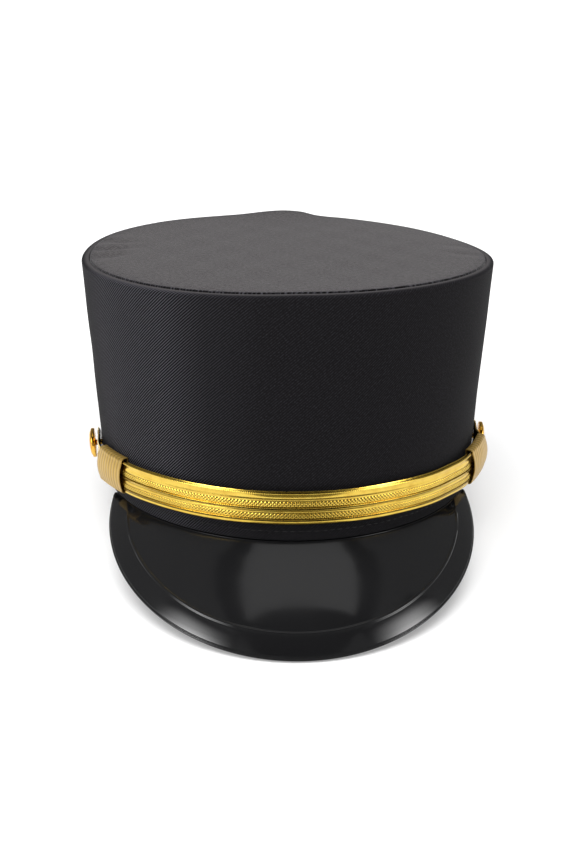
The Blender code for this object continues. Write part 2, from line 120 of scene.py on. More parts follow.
def add_piece(name, points, faces, corner_uvs=None):
    """A mesh object from arrays; a closed shell that comes out inside out is turned round."""
    points = np.asarray(points, float).reshape(-1, 3)
    faces = np.asarray(faces, int)
    a, b, c = (points[faces[:, k]] for k in (0, 1, 2))
    volume = np.einsum("ij,ij->i", a, np.cross(b, c)).sum()
    d = points[faces[:, -1]]
    volume += np.einsum("ij,ij->i", a, np.cross(c, d)).sum()
    if volume < 0:
        faces = faces[:, ::-1]
        corner_uvs = None if corner_uvs is None else corner_uvs[:, ::-1]
    mesh = bpy.data.meshes.new(name)
    mesh.from_pydata(points, [], faces)
    if corner_uvs is not None:
        layer = mesh.uv_layers.new(name="UVMap")
        layer.data.foreach_set("uv", np.ascontiguousarray(corner_uvs).ravel())
    mesh.shade_smooth()
    piece = bpy.data.objects.new(name, mesh)
    bpy.context.scene.collection.objects.link(piece)
    return piece


def sheet_faces(count_u, count_v, wrap_u, wrap_v):
    """Quads over a grid of points, with the grid places of their corners; a wrapped side joins up."""
    u, v = np.meshgrid(
        np.arange(count_u - (not wrap_u)), np.arange(count_v - (not wrap_v)), indexing="ij")
    around = ((0, 0), (1, 0), (1, 1), (0, 1))
    corners = np.stack([np.stack([u + i, v + j], -1) for i, j in around], -2).reshape(-1, 4, 2)
    return (corners[..., 0] % count_u) * count_v + corners[..., 1] % count_v, corners


def add_sheet(name, points, wrap_u, wrap_v, uv=None):
    """A surface over a grid; uv holds one more row or column than points where that side is wrapped."""
    faces, corners = sheet_faces(points.shape[0], points.shape[1], wrap_u, wrap_v)
    uvs = None if uv is None else uv[corners[..., 0], corners[..., 1]]
    return add_piece(name, points, faces, uvs)


def give_share(piece, name, values):
    """Stores one number for each of a piece's points, for its material to read."""
    layer = piece.data.attributes.new(name, "FLOAT", "POINT")
    layer.data.foreach_set("value", np.ravel(values).astype(np.float32))


def weld(piece, distance=1e-7):
    """Closes poles and ends: points that lie on one another become one."""
    shape = bmesh.new()
    shape.from_mesh(piece.data)
    bmesh.ops.remove_doubles(shape, verts=shape.verts, dist=distance)
    bmesh.ops.dissolve_degenerate(shape, edges=shape.edges, dist=distance)
    shape.to_mesh(piece.data)
    shape.free()
    piece.data.shade_smooth()


WALL_AROUND = 560
HEM_ROWS = 5
WALL_OUTER_ROWS = 84
ROLL_ROWS = 17
HEM_ROUND = 0.0009
ROLL_CREST = 0.0017
ROLL_SQUARE = 2 / 3.2
ROLL_LIP = 0.0002
# The roll's turn down into the top seam: depth under its crest, reach past its inset, and the share
# of painted light (lighter tones where it faces the light)
SEAM_TURN = ((0.00012, 0.00002, 0.3), (0.00045, 0.00012, 0.0), (0.0016, 0.00005, 0.0))
INNER_TOP = 0.0012
# The pressed join at the back: a groove with a soft puff on both its sides
JOIN_WIDTH = 0.0007
JOIN_DEPTH = 0.00028
PUFF_AT = 0.0024
PUFF_WIDTH = 0.0016
PUFF_HEIGHT = 0.00016
# Soft unevenness of the wall, in sine waves: strength, waves round, start, waves up (in radians)
SOFT_DEPTH = 0.00010
SOFT_WAVES = ((1.0, 3, 0.7, 14), (0.7, 7, 0.0, -9), (0.5, 13, 5, 21))


def wall_profile():
    """Rows of the wall's section as (share of height, rise, stand, share of painted light).

    They go up outside from a round hem, over the roll and down inside. The roll is a quarter of a
    squared oval, whose sine and cosine are raised to 2 / 3.2, and it ends in a small turn down into
    the seam. The roll is painted in lighter tones as it turns towards the sky: a painted highlight
    from the light above.
    """
    rows = []
    for turn in np.linspace(0.5 * np.pi, np.pi, HEM_ROWS + 1)[:-1]:
        rows.append((0.0, HEM_ROUND * (1 - np.sin(turn)), -HEM_ROUND * (1 + np.cos(turn)), 0.0))
    for share in np.linspace(0.0, 1.0, WALL_OUTER_ROWS):
        rows.append((share, HEM_ROUND * (1 - share), 0.0, 0.0))
    for turn in np.linspace(0.0, 0.5 * np.pi, ROLL_ROWS + 1)[1:]:
        rise = ROLL_CREST * np.sin(turn) ** ROLL_SQUARE
        reach = (ROLL_INSET - ROLL_LIP) * (1 - np.cos(turn) ** ROLL_SQUARE)
        # Painted highlight: the roll takes the lighter tones as it turns up to the overhead light
        rows.append((1.0, rise, -reach, 0.9 * np.sin(turn) ** 14))
    for fall, past, painted_light in SEAM_TURN:
        rows.append((1.0, ROLL_CREST - fall, -ROLL_INSET - past, painted_light))
    rows.append((1.0, -INNER_TOP, -WALL, 0.0))
    for share in np.linspace(0.94, 0.0, 12):
        rows.append((share, HEM_ROUND * (1 - share), -WALL, 0.0))
    return np.array(rows)


# The strip starts and ends at the join; its UVs are metres along it and up it
up_share, rise, stand, painted_light = wall_profile().T
angle = np.linspace(np.pi, 3 * np.pi, WALL_AROUND + 1)[:, None]
height = up_share * rim_height(angle) + rise
outside = (np.arange(len(up_share)) < HEM_ROWS + WALL_OUTER_ROWS)[None, :]
wave = sum(
    strength * np.sin(waves * angle + start + upward * up_share)
    for strength, waves, start, upward in SOFT_WAVES)
soft = SOFT_DEPTH * wave * np.sin(np.pi * up_share) * outside
from_join = np.minimum(angle - np.pi, 3 * np.pi - angle) * BASE_B
groove = -JOIN_DEPTH * np.exp(-(from_join / JOIN_WIDTH) ** 2) * outside
puff = PUFF_HEIGHT * np.exp(-((from_join - PUFF_AT) / PUFF_WIDTH) ** 2) * outside
wall_points = on_cap(*crown(angle, height, stand + soft + groove + puff))
run = along(*crown(angle, 0.05 + 0 * angle, 0.0)[:2])
climb = np.cumsum(np.hypot(np.diff(height, axis=1), np.diff(stand)), axis=1)
climb = np.concatenate([0 * run, climb, climb[:, -1:] + WALL], axis=1)
wall_uv = np.stack([run + 0 * climb, climb], -1)
crown_wall = add_sheet("crown_side", wall_points[:-1], True, True, wall_uv)
# Stores the share of painted light: lighter tones on the roll's crest and at the start of the seam's turn
give_share(crown_wall, "painted_light", painted_light + 0 * height[:-1])
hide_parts("crown_wall")
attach(crown_wall, "root")


def linear(code):
    """An sRGB hex colour as a linear one."""
    parts = np.array([int(code[k:k + 2], 16) for k in (1, 3, 5)]) / 255
    parts = np.where(parts <= 0.04045, parts / 12.92, ((parts + 0.055) / 1.055) ** 2.4)
    return (*parts.tolist(), 1.0)


def set_inputs(tree, node, inputs):
    """Gives each named input of a node a value or a link."""
    for name, value in inputs.items():
        if isinstance(value, bpy.types.NodeSocket):
            tree.links.new(value, node.inputs[name])
        else:
            node.inputs[name].default_value = value


def add_node(tree, kind, fields=None, inputs=None, stops=()):
    """Adds a node with its fields and inputs, and with a colour ramp's stops of (place, colour)."""
    node = tree.nodes.new("ShaderNode" + kind)
    for name, value in (fields or {}).items():
        setattr(node, name, value)
    set_inputs(tree, node, inputs or {})
    if stops:
        elements = node.color_ramp.elements
        while len(elements) < len(stops):
            elements.new(0.5)
        for element, (place, colour) in zip(elements, stops):
            element.position, element.color = place, colour
    return node


def new_finish(name, inputs):
    """A material whose Principled shader has these inputs: returns it, its node tree and the shader."""
    finish = bpy.data.materials.new(name)
    finish.use_nodes = True
    shader = finish.node_tree.nodes["Principled BSDF"]
    set_inputs(finish.node_tree, shader, inputs)
    return finish, finish.node_tree, shader


# Worsted twill: ribs of yarn lean up to the right about 1 mm apart, with an uneven yarn and a
# faint halo of fibre at grazing angles. The ribs are painted a little lighter than the valleys
# between them, a painted highlight on the ribs and painted shade in the valleys. This painted light
# is strong on the left of the side wall, where light from the left falls across the ribs, and the
# ribs are nearly flat at its front and right. Cloth that faces up to the overhead light is painted
# in lighter tones: painted light.
TWILL_PITCH = 0.00098
TWILL_LEAN = 42
# Metres round from the join at the back, and how far the ribs stand there, which sets both their bump
# and how strongly their painted highlight and painted shade show
RIB_STAND_AND_LIGHT = (
    (0.0, 0.22), (0.16, 0.06), (0.182, 0.10), (0.206, 0.86), (0.248, 0.95), (0.270, 0.30),
    (0.295, 0.10), (0.42, 0.10), (0.64, 0.45),
)
# Valley, middle and rib tones of the cloth unlit, and the lighter tones painted where it faces the
# overhead light (painted light)
UNLIT_TONES = ("#010101", "#121113", "#56555C")
LIT_TONES = ("#242223", "#403E3F", "#615E5E")
ONE_BAND = math.pi / 10  # the Wave Texture's scale at which its bands lie one unit apart
YARNS_PER_RIB = 2.1
YARN_HEIGHT = 0.25
MEAN_HEIGHT = 0.62


def twill(name, pitch, lean, halo, rib_depth, speckle, rib_stand_and_light):
    """Twill by UV in metres, with pitch and rib_depth in metres and lean in degrees.

    The height is that of the ribs and of the yarn's own ripple less their mean, times how far the
    ribs stand, plus noise of fuzz by speckle. It gives both the bump and the tone, whose lighter ribs
    and darker valleys are painted highlight and painted shade. A share stored on the points mixes in
    the lighter tones painted where the cloth faces the light.
    """
    cloth, tree, shader = new_finish(name, {
        "Roughness": 0.88, "Specular IOR Level": 0.10, "Sheen Weight": halo, "Sheen Roughness": 0.35,
        "Sheen Tint": linear("#B9B7B8")})
    place = add_node(tree, "UVMap", {"uv_map": "UVMap"})
    turned = add_node(tree, "Mapping", None, {
        "Vector": place.outputs["UV"], "Rotation": (0, 0, math.radians(90 - lean)),
        "Scale": (1 / pitch, 1 / pitch, 1)})
    ribs = add_node(tree, "TexWave", {"bands_direction": "X"}, {
        "Vector": turned.outputs["Vector"], "Scale": ONE_BAND, "Distortion": 0.35,
        "Detail": 2.0, "Detail Scale": 0.8, "Detail Roughness": 0.6})
    yarn = add_node(tree, "TexWave", {"bands_direction": "Y"}, {
        "Vector": turned.outputs["Vector"], "Scale": YARNS_PER_RIB * ONE_BAND,
        "Distortion": 0.8, "Detail": 2.0, "Detail Scale": 1.0})
    fuzz = add_node(tree, "TexNoise", None, {
        "Vector": turned.outputs["Vector"], "Scale": 0.9, "Detail": 4.0, "Roughness": 0.75})
    parts = add_node(tree, "SeparateXYZ", None, {"Vector": place.outputs["UV"]})
    end = rib_stand_and_light[-1][0]
    share = add_node(tree, "Math", {"operation": "DIVIDE"}, {0: parts.outputs["X"], 1: end})
    rib_stand = add_node(tree, "ValToRGB", None, {"Fac": share.outputs[0]}, [
        (distance / end, (stand, stand, stand, 1.0)) for distance, stand in rib_stand_and_light])
    height = add_node(tree, "Math", {"operation": "MULTIPLY_ADD"}, {
        0: yarn.outputs["Fac"], 1: YARN_HEIGHT, 2: ribs.outputs["Fac"]})
    height = add_node(tree, "Math", {"operation": "SUBTRACT"}, {
        0: height.outputs[0], 1: MEAN_HEIGHT})
    height = add_node(tree, "Math", {"operation": "MULTIPLY_ADD"}, {
        0: height.outputs[0], 1: rib_stand.outputs["Color"], 2: 0.5 - 0.5 * speckle})
    height = add_node(tree, "Math", {"operation": "MULTIPLY_ADD"}, {
        0: fuzz.outputs["Fac"], 1: speckle, 2: height.outputs[0]})
    # Tone by height: the lighter ribs are painted highlight and the darker valleys painted shade
    unlit_ramp, lit_ramp = (
        add_node(tree, "ValToRGB", None, {"Fac": height.outputs[0]}, [
            (place, linear(code)) for place, code in zip((0.0, 0.5, 1.0), codes)])
        for codes in (UNLIT_TONES, LIT_TONES))
    # The share of painted light mixes in the lighter tones painted where the cloth faces the light
    painted_light = add_node(tree, "Attribute", {"attribute_name": "painted_light"})
    colour = add_node(tree, "Mix", {"data_type": "RGBA"}, {
        "Factor": painted_light.outputs["Fac"], "A": unlit_ramp.outputs["Color"], "B": lit_ramp.outputs["Color"]})
    bump = add_node(tree, "Bump", None, {
        "Height": height.outputs[0], "Distance": rib_depth, "Strength": 1.0})
    set_inputs(tree, shader, {
        "Base Color": colour.outputs["Result"], "Normal": bump.outputs["Normal"]})
    return cloth


side_twill = twill(
    "side_twill", TWILL_PITCH, TWILL_LEAN, halo=0.03, rib_depth=0.00020, speckle=0.30, rib_stand_and_light=RIB_STAND_AND_LIGHT)
crown_wall.data.materials.append(side_twill)


# Topstitching: one row of black bonded thread round the crown, about 4.6 mm above its bottom edge,
# with 3.4 mm from stitch to stitch. Each stitch is a short thread that dips into the cloth at both
# its ends.
STITCH_PITCH = 0.0034
STITCH_LENGTH = 0.0026
STITCH_THICK = 0.00042
STITCH_LEVEL = 0.0046
STITCH_WANDER = 0.00006
STITCH_ARCH = 0.62
STITCH_SINK = 0.30


def thread_row(name, centres, directions, outwards, length, thick):
    """One short thread per centre: rings of eight points along a parabola's arch, tapered at both ends."""
    reach = np.linspace(-1, 1, 7)
    arch = thick * (STITCH_ARCH * (1 - reach ** 2) - STITCH_SINK)
    girth = 0.5 * thick * np.sqrt(np.clip(1.02 - reach ** 2, 0.02, 1))
    spin = np.linspace(0, 2 * np.pi, 9)[:-1]
    beside = np.cross(directions, outwards)
    spine = (centres[:, None] + directions[:, None] * (reach * length / 2)[None, :, None]
             + outwards[:, None] * arch[None, :, None])
    ring = (beside[:, None, None] * np.cos(spin)[None, None, :, None]
            + outwards[:, None, None] * np.sin(spin)[None, None, :, None])
    points = spine[:, :, None] + ring * girth[None, :, None, None]
    faces, _ = sheet_faces(len(reach), len(spin), False, True)
    size = len(reach) * len(spin)
    end = np.array([[0, 1, 2, 3], [0, 3, 4, 7], [4, 5, 6, 7]])
    one = np.concatenate([faces[:, ::-1], end[:, ::-1], end + size - len(spin)])
    every = (one[None] + size * np.arange(len(centres))[:, None, None]).reshape(-1, 4)
    return add_piece(name, points, every)


def crown_directions(angle, height, stand):
    """Centres on the wall with the ways round it and out of it, as unit vectors in the room.

    The ways are differences over a step of 0.0001 round and up, and their cross product.
    """
    centre = on_cap(*crown(angle, height, stand))
    step = 1e-4
    ahead = on_cap(*crown(angle + step, height, stand)) - centre
    above = on_cap(*crown(angle, height + step, stand)) - centre
    ahead /= np.linalg.norm(ahead, axis=-1, keepdims=True)
    above /= np.linalg.norm(above, axis=-1, keepdims=True)
    out = np.cross(ahead, above)
    return centre, ahead, out / np.linalg.norm(out, axis=-1, keepdims=True)


fine = np.linspace(0, 2 * np.pi, 4001)
fine_run = along(*crown(fine, 0.0 * fine + STITCH_LEVEL, 0.0)[:2])
count = int(fine_run[-1] / STITCH_PITCH)
stitch_angle = np.interp((np.arange(count) + 0.5) * fine_run[-1] / count, fine_run, fine)
stitch_level = STITCH_LEVEL + STITCH_WANDER * np.sin(37 * stitch_angle)
stitch_places = crown_directions(stitch_angle, stitch_level, 0.0)
base_stitches = thread_row("rim_topstitching", *stitch_places, STITCH_LENGTH, STITCH_THICK)
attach(base_stitches, "root")

# Bonded polyester thread: black, and duller than the strap or the peak
black_thread, tree, shader = new_finish("black_bonded_thread", {
    "Roughness": 0.75, "Base Color": linear("#0A0A0B")})
base_stitches.data.materials.append(black_thread)


# Top panel: an oval of the same twill, sewn inside the rolled edge right side to right side, so it
# sinks into the seam all round. Small folds fan out from its two ends, and the wall's join lifts
# it at the back. Its turned-down hem shows inside the crown.
PANEL_WALL = 0.0018
PANEL_DOME = 0.0015
PANEL_HEM = 0.0045
HEM_START = 0.003
PANEL_AROUND = 420
PANEL_PUFF = 0.00035
# Degrees round from the front, width in degrees and share of FOLD_DEPTH, below 0 for a hollow
FOLDS = (
    (248, 3.0, 0.1), (254, 2.6, -0.8), (260, 2.5, 0.4), (265, 2.3, -1.3), (270, 2.4, 0.4),
    (275.5, 2.8, -1.0), (283, 3.4, 0.1), (78, 3.6, 0.1), (85, 3.0, -0.5), (92, 3.0, 0.1),
    (100, 4.0, -0.4),
)
FOLD_DEPTH = 0.0017
FOLD_AT = 0.93
FOLD_REACH = 0.10
PUCKER_DEPTH = 0.00005
PUCKER_AT = 0.965
PUCKER_REACH = 0.02
SLACK_DEPTH = 0.00016
SLACK_END = 0.95
# The edge's dip into the seam: share of the way out, drop
EDGE_TURN = ((0.9965, 0.00006), (0.9982, 0.00018), (0.9992, 0.00045), (0.9998, 0.00090), (1.0, 0.0015))


def panel(angle, share, inset, depth):
    """Points of the panel, share of the way from its middle to its edge.

    The height is the mean plane, a low dome, the rim's lifts times share ** 6, the folds as bell
    curves round the angle and across the edge, the seam's puckers and the slack as sine waves.
    """
    edge_x, edge_y, _ = crown(angle, rim_height(angle) + ROLL_RISE, -(ROLL_INSET + GAP + inset))
    edge_z = rim_height(angle) - rim_lift(angle) + ROLL_RISE
    x = edge_x * share
    y = RIM_SHIFT + (edge_y - RIM_SHIFT) * share
    middle = (FRONT_HEIGHT + BACK_HEIGHT) / 2 + ROLL_RISE
    z = middle + (edge_z - middle) * share + rim_lift(angle) * share ** 6
    z = z + PANEL_DOME * (1 - share ** 2) + PANEL_PUFF
    degrees = np.degrees(angle) % 360
    fold = sum(deep * np.exp(-((degrees - at) / wide) ** 2) for at, wide, deep in FOLDS)
    z = z + FOLD_DEPTH * fold * np.exp(-((share - FOLD_AT) / FOLD_REACH) ** 2) * (1 - share ** 18)
    pucker = np.sin(61 * angle + 1.1 * np.sin(5 * angle)) + 0.6 * np.sin(97 * angle)
    z = z + PUCKER_DEPTH * pucker * np.exp(-((share - PUCKER_AT) / PUCKER_REACH) ** 2)
    slack = SLACK_DEPTH * np.sin(23 * x / RIM_A + 2) * np.sin(17 * y / RIM_B) * np.sin(np.pi * share)
    return x, y, z + slack * (share < SLACK_END) - depth


shares = np.concatenate([np.linspace(0, 0.9, 50), np.linspace(0.9, 0.993, 22)[1:]])
panel_angle = np.linspace(0, 2 * np.pi, PANEL_AROUND + 1)[:, None]
face = [np.stack(panel(panel_angle, shares[None, :], 0.0, 0.0), -1)]
edge = [np.stack(panel(panel_angle, np.array([[share]]), 0.0, drop), -1) for share, drop in EDGE_TURN]
hem = []
for stand, drop in ((0.0, HEM_START), (0.0, PANEL_HEM), (PANEL_WALL, PANEL_HEM), (PANEL_WALL, HEM_START)):
    row = crown(panel_angle, rim_height(panel_angle) + ROLL_RISE - drop, -(ROLL_INSET + GAP + stand))
    hem.append(np.stack(row, -1))
under_shares = np.linspace(0.985, 0, 30)[None, :]
under = [np.stack(panel(panel_angle, under_shares, PANEL_WALL, PANEL_WALL), -1)]
grid = np.concatenate(face + edge + hem + under, axis=1)
panel_points = on_cap(grid[..., 0], grid[..., 1], grid[..., 2])
crown_top = add_sheet("crown_top_panel", panel_points[:-1], True, False, grid[..., :2])
# The panel's face is painted in the lighter tones, as it is lit from above (painted light), less
# towards the seam (painted shade). The dip into the seam keeps the unlit tones, which paint a dark
# shade line along it, and so does the turned-under hem.
near_seam = np.clip((shares - 0.92) / 0.08, 0, 1)
rows_lit = np.zeros(grid.shape[1])
rows_lit[:len(shares)] = 1 - 0.40 * near_seam ** 2
give_share(crown_top, "painted_light", rows_lit + np.zeros((PANEL_AROUND, 1)))
weld(crown_top)
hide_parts("crown_top")
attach(crown_top, "root")
# The same cloth, but its weave is drawn coarser than it is, or it would not show
top_twill = twill(
    "top_twill", pitch=0.00150, lean=40, halo=0.40, rib_depth=0.00016, speckle=1.8,
    rib_stand_and_light=((0.0, 0.30), (1.0, 0.30)))
crown_top.data.materials.append(top_twill)


# Peak: black patent vinyl moulded over board, about 54 mm long. A raised ridge runs round it 11 to
# 13 mm inside the edge, the band outside it falls away, and a fine groove sets off a rolled bead at
# the edge. Its flange is sewn inside the rim.
PEAK_REACH = 0.0388
PEAK_DROP = 0.0374
PEAK_HALF = 0.1655 / 2
PEAK_WIDEST = 0.0565
PEAK_WALL = 0.0016
PEAK_END_LIP = 0.0012
FLANGE_HEIGHT = 0.0080
FLANGE_WALL = 0.0012
# The blade's arch over the straight line from root to edge: share of the way, rise by its length
BLADE_ROWS = (
    (0.0, 0.0), (0.12, 0.006), (0.28, 0.019), (0.46, 0.030), (0.64, 0.033), (0.80, 0.027),
    (0.92, 0.013), (1.0, 0.0),
)
EDGE_POINTS = 401
EDGE_CROWDED = 0.35  # how much its points crowd at both ends
# Rows inside the edge, closest at the bead and at the ridge: from, to and how many
EDGE_ROWS = ((0.0, 0.0045, 30), (0.0045, 0.0085, 8), (0.0085, 0.0140, 44))
INNER_ROWS = 36
ROWS_TAPER = 0.030  # where the blade is shorter than this, its rows draw together
RIDGE_INSIDE = 0.0112
RIDGE_DRIFT = 0.0017
RIDGE_WIDTH = 0.00065
RIDGE_HEIGHT = 0.00028
RIDGE_FROM_END = 0.028
RELIEF_FADE = 0.10
BAND_FALL = 0.0007
BAND_SINK = 0.2
BEAD_WIDTH = 0.0006
BEAD_GROOVE = 0.0005
GROOVE_DEPTH = 0.00045
GROOVE_SIDE = 0.00030
CLOSED_SHARE = 0.985


def ramp(value, start, end):
    """0 before start, 1 after end and a smooth S between them."""
    share = np.clip((value - start) / (end - start), 0, 1)
    return share * share * (3 - 2 * share)


def peak_edge(turn, end_y):
    """The peak's edge: an oval round the front whose height falls evenly from the crown to the tip."""
    tip = -(BASE_B + PEAK_REACH)
    y = -PEAK_WIDEST - (BASE_B + PEAK_REACH - PEAK_WIDEST) * np.cos(turn)
    z = -GAP - (PEAK_DROP - GAP) * (end_y - y) / (end_y - tip)
    return np.stack([PEAK_HALF * np.sin(turn), y, z], -1)


def peak_end():
    """Turn at which the edge's oval comes back to the crown's base oval, found by halving."""
    inside, outside = np.pi, np.pi / 2
    for _ in range(50):
        turn = (inside + outside) / 2
        x, y, _ = peak_edge(turn, 0.0)
        reach = (x / (BASE_A + PEAK_END_LIP)) ** 2 + (y / (BASE_B + PEAK_END_LIP)) ** 2
        inside, outside = (inside, turn) if reach > 1 else (turn, outside)
    return outside


def unit(vectors):
    """Vectors brought to length one."""
    return vectors / np.maximum(np.linalg.norm(vectors, axis=-1, keepdims=True), 1e-12)


end_turn = peak_end()
end_y = peak_edge(end_turn, 0.0)[1]
end_angle = np.arccos(-end_y / (BASE_B + PEAK_END_LIP))
crowded = np.sin(np.linspace(-np.pi / 2, np.pi / 2, EDGE_POINTS))
side = crowded * EDGE_CROWDED + np.linspace(-1, 1, EDGE_POINTS) * (1 - EDGE_CROWDED)
side = side[:, None]  # -1 at the left end of the peak, 0 at its tip and 1 at the right end
root = np.stack(crown(end_angle * side, 0 * side - GAP, 0.0), -1)
rim = peak_edge(end_turn * side, end_y)
way = rim - root
length = np.linalg.norm(way, axis=-1)
flat = way * np.array([1.0, 1.0, 0.0])
lift = unit(flat) * -way[..., 2:] + np.linalg.norm(flat, axis=-1, keepdims=True) * np.array([0.0, 0.0, 1.0])


def blade(out):
    """Points of the blade: along the line from root to edge, raised square to it by the blade's curve."""
    return root + way * out[..., None] + lift * smooth_rows(BLADE_ROWS, out)[..., None]


def sheet_normals(points):
    """Unit normals of a grid, from the differences along its rows and columns."""
    return unit(np.cross(np.gradient(points, axis=0), np.gradient(points, axis=1)))


# Rows across the blade: some at fixed distances inside the edge, the others over the way to the root
nose = PEAK_WALL / 2
reach_in = np.maximum(length - nose, 1e-5)
fixed = np.concatenate([[0.0]] + [np.linspace(*rows)[1:] for rows in EDGE_ROWS])
long_rows = np.append(np.linspace(0, 1, INNER_ROWS)[1:-1], [0.997, 1.0])
inset = fixed[None, :] * np.clip(reach_in / ROWS_TAPER, 0, 1)
left_over = (reach_in - inset[:, -1:]) * long_rows[None, :]
inset = np.concatenate([inset, inset[:, -1:] + left_over], axis=1)
upper = blade(1 - (inset + nose) / length)
normal = sheet_normals(upper)
normal = normal * np.sign(normal[..., 2:])

# Relief: a flat-topped bell for the ridge, the rounded band outside it and a bell for the groove
from_edge = inset + nose
to_end = 1 - np.abs(side)
rim_run = along(rim[:, 0, 0], rim[:, 0, 1])[:, None]
from_end = np.minimum(rim_run, rim_run[-1] - rim_run)
ridge_inside = RIDGE_INSIDE + RIDGE_DRIFT * np.clip((np.abs(side) - 0.3) / 0.5, 0, 1)
ridge = RIDGE_HEIGHT * np.exp(-((from_edge - ridge_inside) / RIDGE_WIDTH) ** 4)
ridge = ridge * np.clip((from_end - RIDGE_FROM_END) / 0.002, 0, 1)
band_share = np.clip(from_edge / ridge_inside, 0, 1)
behind = ramp((from_edge - ridge_inside) / np.maximum(length - ridge_inside, 1e-5), 0, 1)
ridge = ridge + BAND_FALL * (band_share * (2 - band_share) * (1 - behind) - BAND_SINK)
groove = -GROOVE_DEPTH * np.exp(-((from_edge - BEAD_WIDTH - BEAD_GROOVE) / GROOVE_SIDE) ** 2)
relief = ridge * ramp(to_end, 0, RELIEF_FADE) + groove * np.clip(to_end / 0.03, 0, 1)

# The blade's section: over the top, round a half circle at the edge, back below and closed at its ends
top_side = upper + normal * relief[..., None]
closing = ((np.abs(side) - CLOSED_SHARE) / (1 - CLOSED_SHARE)).clip(0, 1)
low_side = upper - normal * PEAK_WALL * np.sqrt(np.clip(1 - closing ** 2, 0, 1))[..., None]
arc = np.linspace(np.pi / 2, -np.pi / 2, 9)[None, 1:-1, None]
middle = (top_side[:, :1] + low_side[:, :1]) / 2
half = np.linalg.norm(top_side[:, :1] - low_side[:, :1], axis=-1, keepdims=True) / 2
forward = unit(upper[:, :1] - upper[:, 1:2])
nose_points = middle + forward * half * np.cos(arc) + normal[:, :1] * half * np.sin(arc)
loop = np.concatenate([top_side[:, ::-1], nose_points, low_side], axis=1)
peak_points = on_cap(loop[..., 0], loop[..., 1], loop[..., 2])
on_edge = np.zeros((len(side), arc.size))
across = np.concatenate([-from_edge[:, ::-1], on_edge, from_edge, -from_edge[:, -1:]], axis=1)
peak_uv = np.stack([rim_run + 0 * across, across], -1)
peak_blade = add_sheet("peak_blade", peak_points, False, True, peak_uv)
weld(peak_blade, 2e-6)
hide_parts("peak")
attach(peak_blade, "root")

# The flange's section goes under the wall's bottom edge and up inside it: height, stand off the wall
flange_angle = np.linspace(-end_angle, end_angle, 200)[:, None]
flange_out = -(WALL + GAP)
flange_in = -(WALL + GAP + FLANGE_WALL)
flange_height, flange_stand = np.array([
    (-GAP, 0.0), (-GAP, -FLANGE_WALL), (-GAP, flange_out), (0.004, flange_out),
    (FLANGE_HEIGHT, flange_out), (FLANGE_HEIGHT, flange_in), (0.004, flange_in),
    (-PEAK_WALL, flange_in), (-PEAK_WALL, -FLANGE_WALL), (-PEAK_WALL, -0.0002),
]).T
flange_fade = np.clip((1 - np.abs(flange_angle) / end_angle) / 0.004, 0, 1)
x, y, _ = crown(flange_angle, 0 * flange_height, flange_stand)
z = -GAP + (flange_height + GAP) * flange_fade
peak_flange = add_sheet("peak_flange", on_cap(x, y, z), False, True)
weld(peak_flange, 2e-6)
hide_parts("peak")
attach(peak_flange, "root")

# Patent vinyl: deep black under a smooth clear skin, so it mirrors the lights softly; the faint
# orange peel and small dents of a moulded film blur them a little.
patent, tree, shader = new_finish("patent_vinyl", {"Roughness": 0.20, "Base Color": linear("#181819")})
place = add_node(tree, "UVMap", {"uv_map": "UVMap"})
peel = add_node(tree, "TexNoise", None, {
    "Vector": place.outputs["UV"], "Scale": 900.0, "Detail": 2.0, "Roughness": 0.5})
dents = add_node(tree, "TexNoise", None, {
    "Vector": place.outputs["UV"], "Scale": 45.0, "Detail": 1.0, "Roughness": 0.4})
height = add_node(tree, "Math", {"operation": "MULTIPLY_ADD"}, {
    0: peel.outputs["Fac"], 1: 0.03, 2: dents.outputs["Fac"]})
bump = add_node(tree, "Bump", None, {
    "Height": height.outputs[0], "Distance": 0.00018, "Strength": 0.6})
worn = add_node(tree, "MapRange", None, {
    "Value": dents.outputs["Fac"], "From Min": 0.3, "From Max": 0.7, "To Min": 0.09, "To Max": 0.15})
set_inputs(tree, shader, {"Roughness": worn.outputs["Result"], "Normal": bump.outputs["Normal"]})
peak_blade.data.materials.append(patent)
peak_flange.data.materials.append(patent)


# Chin strap: two layers of stiff gold lace, 15 mm wide, pressed into steps. Each of its three beads
# runs out into a hollow and a smooth ridge, and under the first two ridges lies a band of knurled
# diamonds. The outer layer runs from the left button to the right keeper and the under one from the
# right button to the left keeper; each slides in the keeper that the other layer's tab carries.
STRAP_WIDTH = 0.0151
STRAP_LEVEL = 0.0164
OUTER_THICKNESS = 0.0015
OUTER_CROWN = 0.0006
UNDER_THICKNESS = 0.0011
LEAST_THICKNESS = 0.00015
STRAP_STAND = 0.0004
TAB_STAND = 0.0008
TAB_PAST_BUTTON = 0.0078
END_SHORT = 0.0010
UNDER_PEEK = 0.0003
# How far the strap sags to both sides of the front: degrees round, share of STRAP_FALL
STRAP_FALL = 0.0046
FALL_ROWS = (
    (-100, 1.15), (-88, 0.96), (-70, 0.54), (-55, 0.35), (-33, 0.11), (0, 0.0), (28, 0.13), (45, 0.43),
    (62, 0.58), (75, 0.48), (86, 0.31), (100, 0.12),
)
KEEPER_LENGTH = 0.0225
KEEPER_WALL = 0.0005
KEEPER_CORNER = 0.0020
KEEPER_BULGE = 0.0006
KEEPER_LEAD = 0.0250
KEEPER_HALF = STRAP_WIDTH / 2 + GAP + KEEPER_WALL
# Each side's keeper mouth and button, as angles round from the front, and how far the keeper stands
# off the wall at its mouth and at its rear end
SIDES = {
    -1: {"mouth": math.radians(55.5), "button": math.radians(88.0),
         "mouth_stand": 0.0002, "rear_stand": 0.0013},
    1: {"mouth": math.radians(62.5), "button": math.radians(86.0),
        "mouth_stand": 0.0010, "rear_stand": 0.0024},
}
